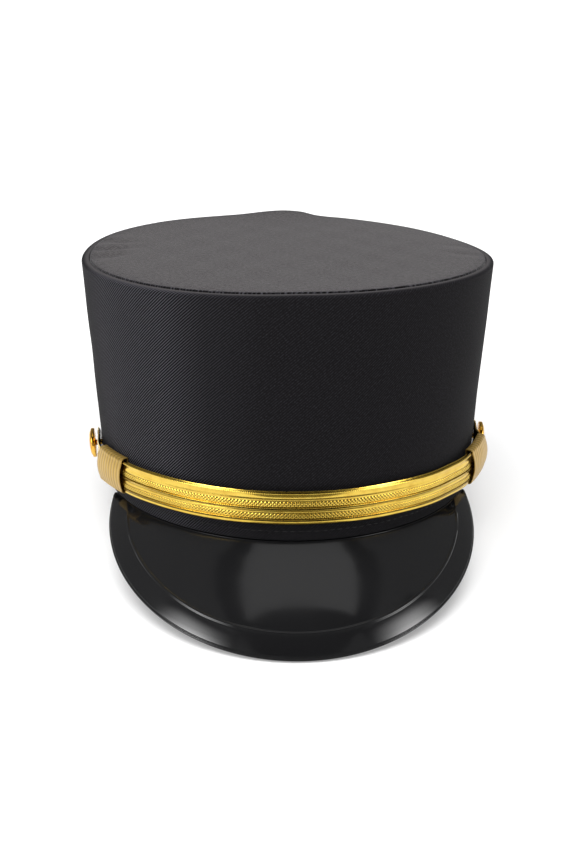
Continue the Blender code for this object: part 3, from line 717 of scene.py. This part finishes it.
# The front across the strap, step by step from the top: the share of the width where the step ends,
# how far it lies under the first bead's crest there, its rows of points, and its kind
FIRST_DEPTH = 0.0003
STEPS = (
    (0.050, 0.00000, 4, "round"), (0.185, 0.00065, 6, "hollow"), (0.250, 0.00058, 4, "round"),
    (0.285, 0.00072, 3, "round"), (0.315, 0.00056, 2, "knurled"), (0.445, 0.00062, 9, "knurled"),
    (0.460, 0.00080, 2, "round"), (0.482, 0.00014, 3, "round"), (0.560, 0.00074, 5, "hollow"),
    (0.610, 0.00058, 4, "round"), (0.660, 0.00072, 3, "round"), (0.685, 0.00058, 2, "knurled"),
    (0.815, 0.00064, 9, "knurled"), (0.833, 0.00082, 2, "round"), (0.853, 0.00030, 3, "round"),
    (0.895, 0.00078, 4, "hollow"), (0.945, 0.00066, 4, "round"), (1.0, 0.00072, 3, "round"),
)
BEAD_CRESTS = (0.050, 0.482, 0.853)
TOP_TRIM = 0.0004
TOP_FALL = 0.0013
BACK_NARROWER = 0.96
KNURL_PITCH = 0.00155
KNURL_DEPTH = 0.00036
KNURL_MEAN = 0.25
MILL_PITCH = KNURL_PITCH * 4 / 7
MILL_DEPTH = 0.00005
MILL_WIDTH = 0.02
FINE_STEP = KNURL_PITCH / 7
COARSE_STEP = 0.0012
PIT_FROM = 0.00068
PIT_SPAN = 0.00010

walk = np.radians(np.linspace(0, 130, 6001))
walk_run = along(*crown(walk, 0 * walk + STRAP_LEVEL, 0.0)[:2])


def walk_round(start, distance):
    """Angle reached from start by going distance along the wall at the strap's level."""
    return float(np.interp(np.interp(start, walk, walk_run) + distance, walk_run, walk))


for place in SIDES.values():
    place["lead"] = walk_round(place["mouth"], -KEEPER_LEAD)
    place["rear"] = walk_round(place["mouth"], KEEPER_LENGTH)
    place["tab"] = walk_round(place["button"], -TAB_PAST_BUTTON)
    place["end"] = walk_round(place["button"], TAB_PAST_BUTTON)


def by_side(angle, work):
    """Reads a rule at each angle: left of the front with SIDES[-1], right of it with SIDES[1]."""
    return np.where(angle < 0, work(np.abs(angle), SIDES[-1]), work(np.abs(angle), SIDES[1]))


def strap_level(angle):
    """Height of the strap's bottom edge up the wall."""
    return STRAP_LEVEL - STRAP_FALL * smooth_rows(FALL_ROWS, np.degrees(angle))


def keeper_stand(angle):
    """How far the keepers stand off the wall: evenly more from the mouth to the rear end."""
    def work(place, sizes):
        share = (place - sizes["mouth"]) / (sizes["rear"] - sizes["mouth"])
        return sizes["mouth_stand"] + (sizes["rear_stand"] - sizes["mouth_stand"]) * share
    return by_side(angle, work)


def layer_stand(angle, over):
    """How far a layer stands off the wall.

    It lies close at the front, rises along an S to a keeper's mouth, goes evenly through the keeper
    and comes down along an S to its tab.
    """
    inside = KEEPER_WALL + GAP

    def work(place, sizes):
        mouth, rear = sizes["mouth"], sizes["rear"]
        rise = sizes["mouth_stand"] + inside - STRAP_STAND
        front = STRAP_STAND + rise * ramp(place, sizes["lead"], mouth)
        share = np.clip((place - mouth) / (rear - mouth), 0, 1)
        kept = sizes["mouth_stand"] + (sizes["rear_stand"] - sizes["mouth_stand"]) * share + inside
        raised = over + sizes["rear_stand"] + inside
        tab = raised + (TAB_STAND - raised) * ramp(place, rear, sizes["tab"])
        return np.where(place <= mouth, over + front, np.where(place <= rear, over + kept, tab))
    return by_side(angle, work)


def band(angle, across, stand):
    """Points of strap or keeper: it hangs upright from its top edge, and lies along the wall at a tab."""
    upright = by_side(angle, lambda place, sizes: 1 - ramp(place, sizes["rear"], sizes["tab"]))
    level = strap_level(angle)
    x, y, _ = crown(angle, level + across + (KEEPER_HALF - across) * upright, stand)
    return on_cap(x, y, level + across + 0 * x)


def strap_rows():
    """Rows across the strap's front: share of the width, depth, knurl and milling.

    The depth is under the first bead's crest. A round step is half a cosine wave and a hollow one
    falls as 1 - (1 - t) ** 1.5; milling fades from the beads' crests as a bell curve.
    """
    rows = [(0.0, FIRST_DEPTH, 0.0, 0.0)]
    for end, depth, count, kind in STEPS:
        start, before = rows[-1][:2]
        for t in np.arange(1, count + 1) / count:
            eased = 1 - (1 - t) ** 1.5 if kind == "hollow" else (1 - math.cos(math.pi * t)) / 2
            share = start + (end - start) * t
            milled = sum(math.exp(-((share - crest) / MILL_WIDTH) ** 2) for crest in BEAD_CRESTS)
            rows.append((share, before + (depth - before) * eased, float(kind == "knurled"), milled))
    return np.array(rows).T


def knurl(run, across):
    """A net of raised strands about its mean: the lesser of two crossed sets of squared sine waves."""
    with_it = np.sin(np.pi * (run + across) / KNURL_PITCH) ** 2
    against = np.sin(np.pi * (run - across) / KNURL_PITCH) ** 2
    return KNURL_MEAN - np.minimum(with_it, against)


def add_strap(name, side, thickness, arch, over, lift, fine_length):
    """One layer: a round tab past its button, a long run round the front, a square end in the far keeper.

    Its rows run round the front, the bead's arch falling as a parabola, and then up the flat back,
    whose top edge lies lower. The first fine_length of it has points close enough for the diamonds.
    """
    near, far = SIDES[side], SIDES[-side]
    button_run = np.interp(near["button"], walk, walk_run)
    length = button_run + np.interp(far["mouth"], walk, walk_run) + KEEPER_LENGTH - END_SHORT
    fine = np.arange(0.0, min(fine_length, length), FINE_STEP)
    coarse = np.linspace(fine[-1], length, 3 + int((length - fine[-1]) / COARSE_STEP))[1:]
    run = np.concatenate([fine, coarse])[1:]
    from_front = button_run - run
    run_angle = side * np.sign(from_front) * np.interp(np.abs(from_front), walk_run, walk)
    turns = np.linspace(0.02, np.pi / 2, 14)
    tab_angle = near["end"] - (near["end"] - near["button"]) * (1 - np.cos(turns))
    tab_run = -np.interp(tab_angle, walk, walk_run) + button_run
    angle = np.concatenate([side * tab_angle, run_angle])[:, None]
    run = np.concatenate([tab_run, run])[:, None]
    narrow = np.concatenate([np.sin(turns), np.ones(len(run_angle))])[:, None]

    share, depth, diamonds, mill = strap_rows()
    net = knurl(run, STRAP_WIDTH * share)
    half = STRAP_WIDTH / 2 * narrow
    front_across = half * (1 - 2 * share) - TOP_TRIM * narrow * (1 - share)
    front = thickness - arch * (2 * share - 1) ** 2 - depth + KNURL_DEPTH * diamonds * net
    front = np.maximum(front + MILL_DEPTH * mill * np.cos(2 * np.pi * run / MILL_PITCH), LEAST_THICKNESS)
    back_share = np.array([1.0, 0.66, 0.33, 0.0])
    back_across = half * (1 - 2 * back_share) * BACK_NARROWER - TOP_FALL * narrow * (1 - back_share)
    across = np.concatenate([front_across, back_across], axis=1)
    out = np.concatenate([front, 0 * back_across], axis=1)
    points = band(angle, across + lift(angle), layer_stand(angle, over) + out)
    points[0] = points[0].mean(0)

    # Painted shade: dark brown between the strands, in the deepest grooves and on the whole back
    pit_shade = diamonds * np.clip(KNURL_MEAN - net, 0, 1) ** 1.5
    pit_shade = np.maximum(pit_shade, np.clip((depth - PIT_FROM) / PIT_SPAN, 0, 1) * (1 - diamonds))
    pit_shade = np.concatenate([pit_shade, 0 * back_across + 1], axis=1)

    # Quads round the band, and one row of them that closes its square end
    uv_across = np.concatenate([share, np.full(len(back_share) + 1, 1.0)])[None, :] * STRAP_WIDTH
    uv = np.stack([run + 0 * uv_across, uv_across + 0 * run], -1)
    faces, corners = sheet_faces(points.shape[0], points.shape[1], False, True)
    uvs = uv[corners[..., 0], corners[..., 1]]
    last = (points.shape[0] - 1) * points.shape[1]
    pairs = np.arange(len(share) - 1)
    back_index = len(share) + np.round((1 - share) * (len(back_share) - 1)).astype(int)
    end = last + np.stack([pairs, pairs + 1, back_index[1:], back_index[:-1]], -1)
    end_uvs = np.zeros((len(end), 4, 2))
    piece = add_piece(name, points, np.concatenate([faces, end]), np.concatenate([uvs, end_uvs]))
    give_share(piece, "pit_shade", pit_shade)
    weld(piece)
    return piece


def peek(angle):
    """The under layer rides up to 0.3 mm above the outer one, most on the right."""
    to_keeper = by_side(angle, lambda place, sizes: 1 - ramp(place, sizes["lead"], sizes["mouth"]))
    return UNDER_PEEK * to_keeper * ramp(np.degrees(angle), 5, 35)


strap_outer = add_strap(
    "strap_outer_layer", -1, OUTER_THICKNESS, OUTER_CROWN, over=UNDER_THICKNESS + GAP,
    lift=lambda angle: 0 * angle, fine_length=0.3)
strap_under = add_strap(
    "strap_under_layer", 1, UNDER_THICKNESS, arch=0.0, over=0.0, lift=peek, fine_length=0.03)
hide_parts("strap_outer")
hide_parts("strap_under")

# Gold lace: metallised thread over a core, pressed into bright rolls; its fine thread blurs the
# mirror a little, and the metal is a shade browner where it has tarnished. Its pits, deepest
# grooves and back are painted dark brown: painted shade.
lace, tree, shader = new_finish("gold_lace", {"Roughness": 0.20, "Metallic": 1.0})
place = add_node(tree, "UVMap", {"uv_map": "UVMap"})
stretched = add_node(tree, "Mapping", None, {
    "Vector": place.outputs["UV"], "Scale": (0.35, 1.0, 1.0)})
thread = add_node(tree, "TexNoise", None, {
    "Vector": stretched.outputs["Vector"], "Scale": 2600.0, "Detail": 2.0, "Roughness": 0.5})
bump = add_node(tree, "Bump", None, {
    "Height": thread.outputs["Fac"], "Distance": 0.000015, "Strength": 0.6})
tarnish = add_node(tree, "TexNoise", None, {
    "Vector": place.outputs["UV"], "Scale": 160.0, "Detail": 4.0, "Roughness": 0.6})
gold = add_node(tree, "ValToRGB", None, {"Fac": tarnish.outputs["Fac"]}, [
    (0.35, linear("#DFC056")), (0.75, linear("#CDA743"))])
dull = add_node(tree, "MapRange", None, {
    "Value": tarnish.outputs["Fac"], "From Min": 0.3, "From Max": 0.7, "To Min": 0.15, "To Max": 0.24})
# Painted shade: the gold is mixed towards dark brown in the pits, deepest grooves and back
pit_shade = add_node(tree, "Attribute", {"attribute_name": "pit_shade"})
colour = add_node(tree, "Mix", {"data_type": "RGBA"}, {
    "Factor": pit_shade.outputs["Fac"], "A": gold.outputs["Color"], "B": linear("#453009")})
set_inputs(tree, shader, {
    "Base Color": colour.outputs["Result"], "Roughness": dull.outputs["Result"],
    "Normal": bump.outputs["Normal"]})
for piece in (strap_outer, strap_under):
    piece.data.materials.append(lace)
    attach(piece, "root")


# Keepers: sleeves of the same lace turned across and stitched into a loop, paler, with upright ribs
# 2.4 mm apart, rounded corners and a turned lip at both ends.
RIB_PITCH = 0.0024
RIB_DEPTH = 0.00016
RIB_ROWS = 180
LIP_LENGTH = 0.0016


def keeper_loop(back, edge, half, corner, bulge):
    """A keeper's outline across the strap: flat back, round corners and an arched front."""
    turns = np.linspace(0, np.pi / 2, 7)
    top = [(back, 0.0), (back, half * 0.55), (back, half - GAP), (back + GAP, half)]
    top += [
        (edge - corner + corner * math.sin(turn), half - corner + corner * math.cos(turn))
        for turn in turns[:-1]]
    arch = [(edge + bulge * (1 - share ** 2), (half - corner) * share) for share in np.linspace(1, -1, 25)]
    return np.array(top + arch + [(out, -across) for out, across in reversed(top[1:])])


def add_keeper(name, side):
    """A sleeve swept along the strap, by (blend, place) rows from its inner to its outer outline.

    Half circles join both at its lips. The ribs are the outer side's dips by |sine| ** 0.6 along the
    sleeve, and fade at its lips.
    """
    sizes = SIDES[side]
    hollow = KEEPER_WALL + OUTER_THICKNESS + UNDER_THICKNESS + 3 * GAP - OUTER_CROWN
    bulge = OUTER_CROWN + KEEPER_BULGE
    outer = keeper_loop(0.0, hollow + KEEPER_WALL, KEEPER_HALF, KEEPER_CORNER, bulge)
    inner = keeper_loop(KEEPER_WALL, hollow, STRAP_WIDTH / 2 + GAP, KEEPER_CORNER * 0.7, bulge)
    lip = KEEPER_WALL * 0.5
    turns = np.linspace(0, np.pi, 7)
    rows = [(0.5 - 0.5 * math.cos(turn), lip * (1 - math.sin(turn))) for turn in turns[:-1]]
    rows += [(1.0, place) for place in np.linspace(lip, KEEPER_LENGTH - lip, RIB_ROWS)]
    rows += [(0.5 + 0.5 * math.cos(turn), KEEPER_LENGTH - lip * (1 - math.sin(turn))) for turn in turns[1:]]
    rows += [(0.0, place) for place in np.linspace(KEEPER_LENGTH - lip, lip, 14)[1:-1]]
    blend, place = np.array(rows).T
    angle = side * (sizes["mouth"] + (sizes["rear"] - sizes["mouth"]) * place / KEEPER_LENGTH)[:, None]
    ribs = (np.abs(np.sin(np.pi * place / RIB_PITCH)) ** 0.6 - 1) * (blend > 0.99)
    lips = np.clip(np.minimum(place, KEEPER_LENGTH - place) / LIP_LENGTH, 0, 1) ** 2
    blend = blend + RIB_DEPTH / KEEPER_WALL * ribs * lips
    outline = inner[None] + (outer - inner)[None] * blend[:, None, None]
    points = band(angle, outline[..., 1], keeper_stand(angle) + outline[..., 0])
    girth = np.concatenate([[0], np.cumsum(np.linalg.norm(np.diff(outer, axis=0), axis=1))])
    girth = np.append(girth, girth[-1] + np.linalg.norm(outer[0] - outer[-1]))
    place = np.append(place, place[0])
    uv = np.stack(np.broadcast_arrays(place[:, None], girth[None]), -1)
    return add_sheet(name, points, True, True, uv)


keeper_left = add_keeper("keeper_left_sleeve", -1)
keeper_right = add_keeper("keeper_right_sleeve", 1)
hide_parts("keeper_left")
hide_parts("keeper_right")

# Pale gold lace: metallised thread wound closely over a core, so it mirrors less. It is painted
# browner in bands between its ribs, as painted shade in the grooves, with mottled spots where it is
# crushed.
keeper_lace, tree, shader = new_finish("pale_gold_lace", {"Roughness": 0.36, "Metallic": 0.6})
place = add_node(tree, "UVMap", {"uv_map": "UVMap"})
warp = add_node(tree, "TexNoise", None, {
    "Vector": place.outputs["UV"], "Scale": 260.0, "Detail": 2.0, "Roughness": 0.5})
turned = add_node(tree, "Mapping", None, {
    "Vector": place.outputs["UV"], "Scale": (1 / RIB_PITCH, 1 / 0.004, 1)})
ribs = add_node(tree, "TexWave", {"bands_direction": "X"}, {
    "Vector": turned.outputs["Vector"], "Scale": ONE_BAND, "Distortion": 0.25, "Detail": 2.0,
    "Detail Scale": 1.0})
bump = add_node(tree, "Bump", None, {
    "Height": warp.outputs["Fac"], "Distance": 0.00025, "Strength": 1.0})
# Tone: mottled spots plus painted shade in the bands between the ribs
mottle_and_rib_shade = add_node(tree, "Math", {"operation": "MULTIPLY_ADD"}, {
    0: warp.outputs["Fac"], 1: 0.5, 2: ribs.outputs["Fac"]})
gold = add_node(tree, "ValToRGB", None, {"Fac": mottle_and_rib_shade.outputs[0]}, [
    (0.15, linear("#A08140")), (0.95, linear("#C2A052"))])
set_inputs(tree, shader, {"Base Color": gold.outputs["Color"], "Normal": bump.outputs["Normal"]})
for piece in (keeper_left, keeper_right):
    piece.data.materials.append(keeper_lace)
    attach(piece, "root")


# Side buttons: plain gilt domes 14 mm across with a rolled rim, each on a post through strap and
# wall to a plain round backing inside.
BUTTON_RADIUS = 0.0070
BUTTON_STAND = 0.0034
BUTTON_RIM = 0.0018
BUTTON_DOME = 0.0013
BUTTON_EDGE = 0.0005
DOME_INSET = 0.0009
POST_RADIUS = 0.0013
POST_FLARE = 0.0006
BACKING_RADIUS = 0.0050
BACKING_THICKNESS = 0.0010
BACKING_EDGE = 0.0003
AROUND = 72


def add_button(name, side):
    """A profile of (radius, height) turned about the way out of the wall.

    It goes up the backing and the post, round the rim's two rounded edges and over the dome, a
    quarter of an oval whose cosine is raised to 0.8.
    """
    seat = np.array([side * SIDES[side]["button"]])
    base, ahead, out = (part[0] for part in crown_directions(seat, strap_level(seat), 0.0))
    up = np.cross(out, ahead)
    inside = -(WALL + GAP)
    low = inside - BACKING_THICKNESS
    rim = BUTTON_RADIUS - BUTTON_EDGE
    crest = BUTTON_STAND + BUTTON_RIM
    rows = [
        (0, low), (BACKING_RADIUS - BACKING_EDGE, low), (BACKING_RADIUS, low + BACKING_EDGE),
        (BACKING_RADIUS, inside - 0.0002), (BACKING_RADIUS - 0.0002, inside), (POST_RADIUS, inside),
        (POST_RADIUS, BUTTON_STAND - 0.0003), (POST_RADIUS + POST_FLARE, BUTTON_STAND), (rim, BUTTON_STAND)]
    rows += [
        (rim + BUTTON_EDGE * math.sin(turn), BUTTON_STAND + BUTTON_EDGE * (1 - math.cos(turn)))
        for turn in np.linspace(0.2, np.pi / 2, 5)]
    rows += [
        (rim + BUTTON_EDGE * math.cos(turn), crest - BUTTON_EDGE + BUTTON_EDGE * math.sin(turn))
        for turn in np.linspace(0, 2.2, 8)]
    dome = BUTTON_RADIUS - DOME_INSET
    rows += [
        (dome * math.cos(turn) ** 0.8, crest - 0.0001 + BUTTON_DOME * math.sin(turn))
        for turn in np.linspace(0.02, np.pi / 2, 18)]
    radius, height = np.array(rows).T
    spin = np.linspace(0, 2 * np.pi, AROUND + 1)[:-1, None, None]
    beside = ahead * np.cos(spin) + up * np.sin(spin)
    points = base + out * height[None, :, None] + beside * radius[None, :, None]
    uv = np.stack(np.broadcast_arrays(np.linspace(0, 1, AROUND + 1)[:, None], height[None]), -1)
    piece = add_sheet(name, points, True, False, uv)
    weld(piece)
    return piece


# Gilt brass: stamped, plated and polished, darker where the gilding is worn
gilt, tree, shader = new_finish("gilt_brass", {"Roughness": 0.16, "Metallic": 1.0})
place = add_node(tree, "TexCoord")
wear = add_node(tree, "TexNoise", None, {
    "Vector": place.outputs["Object"], "Scale": 400.0, "Detail": 3.0, "Roughness": 0.6})
gold = add_node(tree, "ValToRGB", None, {"Fac": wear.outputs["Fac"]}, [
    (0.30, linear("#C98A22")), (0.65, linear("#F4C559"))])
polish = add_node(tree, "MapRange", None, {
    "Value": wear.outputs["Fac"], "From Min": 0.3, "From Max": 0.7, "To Min": 0.10, "To Max": 0.24})
set_inputs(tree, shader, {"Base Color": gold.outputs["Color"], "Roughness": polish.outputs["Result"]})
for name, side in (("button_left", -1), ("button_right", 1)):
    button = add_button(name + "_dome", side)
    button.data.materials.append(gilt)
    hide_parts(name)
    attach(button, "root")


# Stage: a plain pale floor, a wide soft light overhead with a weak one at the left, and cards at the
# left, right and top that only the shiny pieces mirror. A dim card on the floor before the peak keeps
# the hollows of the strap dark.
bpy.ops.mesh.primitive_plane_add(size=14, location=(0, 2.0, -0.0002))
floor = bpy.context.object
floor.name = "floor"
# White acrylic sheet lit from above and, weakly, from below like a light table, so that shadows
# stay faint
acrylic, tree, shader = new_finish("white_acrylic", {
    "Roughness": 0.9, "Base Color": linear("#D6D6D6"), "Specular IOR Level": 0.0,
    "Emission Color": linear("#FFFFFF"), "Emission Strength": 0.32})
floor.data.materials.append(acrylic)


def add_light(name, place, target, size, size_y, power, diffuse, glossy):
    """An area light that looks at a point; diffuse and glossy say which rays see it."""
    light = bpy.data.lights.new(name, "AREA")
    light.shape = "RECTANGLE"
    light.size, light.size_y, light.energy = size, size_y, power
    item = bpy.data.objects.new(name, light)
    item.location = place
    item.rotation_euler = (Vector(target) - Vector(place)).to_track_quat("-Z", "Y").to_euler()
    item.visible_diffuse = diffuse
    item.visible_glossy = glossy
    bpy.context.scene.collection.objects.link(item)


add_light("overhead", (-0.15, 0.0, 1.6), (0.0, 0.0, 0.0), 2.2, 2.2, power=58, diffuse=True, glossy=False)
add_light(
    "left_fill", (-1.00, -0.40, 0.9), (0.0, 0.0, 0.06), 0.6, 0.6, power=1.8, diffuse=True, glossy=False)


def add_card(name, points, glow):
    """A card over a grid of points that only shiny pieces see.

    Its glow is how bright each point is, and 0 for a black flag.
    """
    card = add_sheet(name, points, False, False)
    give_share(card, "glow", glow + np.zeros(points.shape[:2]))
    card.visible_camera = card.visible_diffuse = card.visible_shadow = card.visible_transmission = False
    cloth, tree, shader = new_finish(name + "_cloth", {
        "Roughness": 1.0, "Base Color": linear("#000000"), "Specular IOR Level": 0.0,
        "Emission Color": linear("#FFFFFF")})
    bright = add_node(tree, "Attribute", {"attribute_name": "glow"})
    set_inputs(tree, shader, {"Emission Strength": bright.outputs["Fac"]})
    card.data.materials.append(cloth)


def level_card(name, x, front, back, level, glow):
    """A level card between its front and back edges, whose y values go with those of x."""
    edges = [np.stack(np.broadcast_arrays(np.asarray(x, float), y, level), -1) for y in (front, back)]
    add_card(name, np.stack(edges, axis=1), glow)


CARD_AWAY = 1.3


def round_card(name, turns, rises, glow):
    """A curved card CARD_AWAY from the cap, between two turns from the front and two heights, in degrees.

    It is brightest in the middle and fades to its edges as squared sine waves.
    """
    share = np.linspace(0, 1, 17)
    turn = np.radians(turns[0] + (turns[1] - turns[0]) * share)[:, None]
    rise = np.radians(rises[0] + (rises[1] - rises[0]) * share)[None, :]
    points = CARD_AWAY * np.stack([
        np.sin(turn) * np.cos(rise), -np.cos(turn) * np.cos(rise), np.sin(rise) + 0 * turn], -1)
    add_card(name, points, glow * np.sin(np.pi * share[:, None]) ** 2 * np.sin(np.pi * share[None, :]) ** 2)


# The softbox's front edge is bowed, which gives its mirror image in the peak a rounded end
span = np.linspace(-0.325, 0.47, 41)
bow = np.maximum(-0.305 - 0.10 * ((span - 0.12) / 0.40) ** 4, -0.41)
level_card("top_softbox", span, bow, 0.35, 1.20, 0.75)
level_card("top_flag", (-0.50, 0.64), -1.90, 0.45, 1.21, 0.0)
level_card("floor_flag", (-0.048, 0.056), -0.235, -0.125, 0.0004, 0.22)
round_card("left_umbrella", turns=(-80, -32), rises=(2, 52), glow=13.0)
round_card("right_umbrella", turns=(42, 86), rises=(2, 52), glow=10.0)

world = bpy.data.worlds.new("studio")
bpy.context.scene.world = world
world.use_nodes = True
set_inputs(world.node_tree, world.node_tree.nodes["Background"], {
    "Color": linear("#FFFFFF"), "Strength": 0.20})
bpy.context.scene.view_settings.view_transform = "Standard"


# Camera: at the photograph's angle to the cap, 0.85 m away, 16 degrees above the plane of its bottom
# rim and a little on the wearer's right, on a 75 mm lens. FOCAL and CENTRE are in pixels.
DISTANCE = 0.850
AIM_HEIGHT = 0.055
ABOVE = math.radians(16.245)
TURN = math.radians(2.7)
ROLL = math.radians(0.428)
FRAME_X, FRAME_Y = 576, 864
FOCAL = 1796.1
CENTRE_X, CENTRE_Y = 287.03, 351.86
SENSOR = 36

across = np.array([math.cos(TURN), -math.sin(TURN), 0.0])
level = np.array([math.sin(TURN), math.cos(TURN), 0.0])
up_cap = np.array([0.0, 0.0, 1.0])
forward = level * math.cos(ABOVE) - up_cap * math.sin(ABOVE)
upward = level * math.sin(ABOVE) + up_cap * math.cos(ABOVE)
eye = up_cap * AIM_HEIGHT - forward * DISTANCE
right = across * math.cos(ROLL) + upward * math.sin(ROLL)
overhead = -across * math.sin(ROLL) + upward * math.cos(ROLL)


def turn_to_room(vector):
    """A way in cap coordinates as one in the room's."""
    return Vector(vector[0] * CAP_SIDE + vector[1] * CAP_BACK + vector[2] * CAP_UP)


lens = bpy.data.cameras.new("camera")
lens.sensor_width = SENSOR
lens.lens = FOCAL * SENSOR / FRAME_Y
lens.shift_x = (FRAME_X / 2 - CENTRE_X) / FRAME_Y
lens.shift_y = (CENTRE_Y - FRAME_Y / 2) / FRAME_Y
lens.clip_start = 0.01
lens.dof.use_dof = False
camera = bpy.data.objects.new("camera", lens)
bpy.context.scene.collection.objects.link(camera)
axes = Matrix([turn_to_room(right), turn_to_room(overhead), -turn_to_room(forward)]).transposed()
camera.matrix_world = Matrix.Translation(Vector(CAP_ORIGIN) + turn_to_room(eye)) @ axes.to_4x4()
bpy.context.scene.camera = camera
